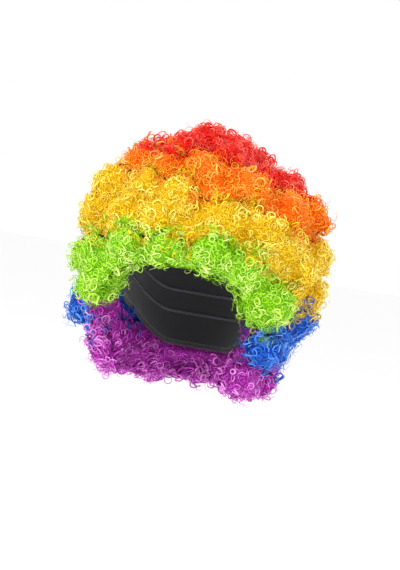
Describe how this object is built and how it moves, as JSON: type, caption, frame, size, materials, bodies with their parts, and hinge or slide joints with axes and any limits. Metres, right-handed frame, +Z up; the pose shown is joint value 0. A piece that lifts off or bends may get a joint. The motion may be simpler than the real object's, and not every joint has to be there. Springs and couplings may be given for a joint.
{
  "type": "clown wig",
  "caption": "Round party wig of tight curls in red, orange, yellow, green, blue and purple bands on a stretch cap, open at the face and the neck",
  "frame": {"origin": "inside top of the cap, where it sits on the crown of the head", "axes": "+Z up with the head upright, -Y the way the wearer looks, +X to the wearer's left"},
  "size_m": [0.3058, 0.3001, 0.309],
  "materials": {
    "cap_net": "stretch net cloth with an elastic hem",
    "red_hair": "glossy curled synthetic fibre",
    "orange_hair": "glossy curled synthetic fibre",
    "yellow_hair": "glossy curled synthetic fibre",
    "green_hair": "glossy curled synthetic fibre",
    "blue_hair": "glossy curled synthetic fibre",
    "purple_hair": "glossy curled synthetic fibre"
  },
  "bodies": {
    "root": {"cap": "cap_net", "red_curls": "red_hair", "orange_curls": "orange_hair", "yellow_curls": "yellow_hair", "green_curls": "green_hair", "blue_curls": "blue_hair", "purple_curls": "purple_hair"}
  },
  "joints": []
}
